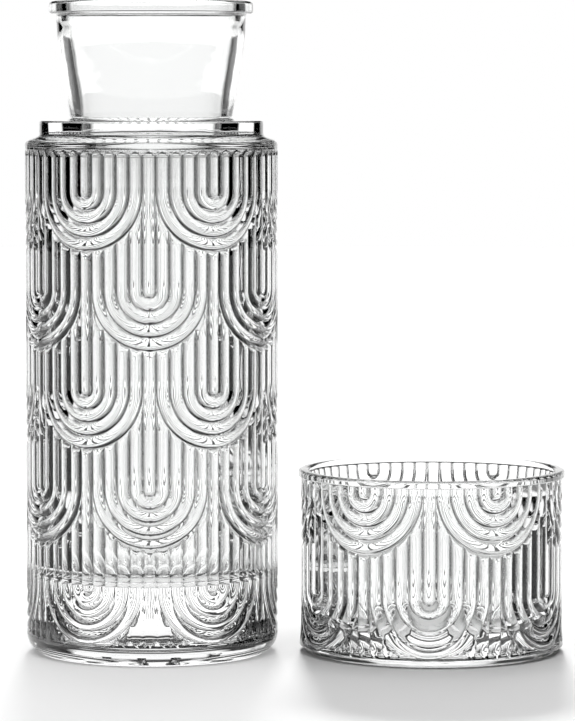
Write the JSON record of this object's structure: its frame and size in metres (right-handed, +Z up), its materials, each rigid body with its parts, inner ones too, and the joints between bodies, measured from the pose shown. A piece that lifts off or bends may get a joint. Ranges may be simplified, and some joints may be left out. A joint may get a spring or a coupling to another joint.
{
  "type": "bedside water carafe with tumbler",
  "caption": "Clear pressed-glass bedside water carafe with a flared neck and a low matching tumbler, both ribbed with nested arches; the tumbler lifts off.",
  "frame": {"origin": "on the table, at the middle of the set's footprint, between the carafe and the tumbler", "axes": "+Z up along both pieces' axes, +X from the carafe towards the tumbler, -Y towards the viewer"},
  "size_m": [0.1712, 0.0848, 0.206],
  "materials": {
    "carafe_glass": "fire-polished clear",
    "tumbler_glass": "fire-polished clear"
  },
  "bodies": {
    "carafe": {"carafe": "carafe_glass"},
    "tumbler": {"tumbler": "tumbler_glass"}
  },
  "joints": [
    {"name": "tumbler_lift", "type": "slide", "parent": "carafe", "child": "tumbler", "axis": [0, 0, 1], "range_m": [0, 0.25]}
  ]
}
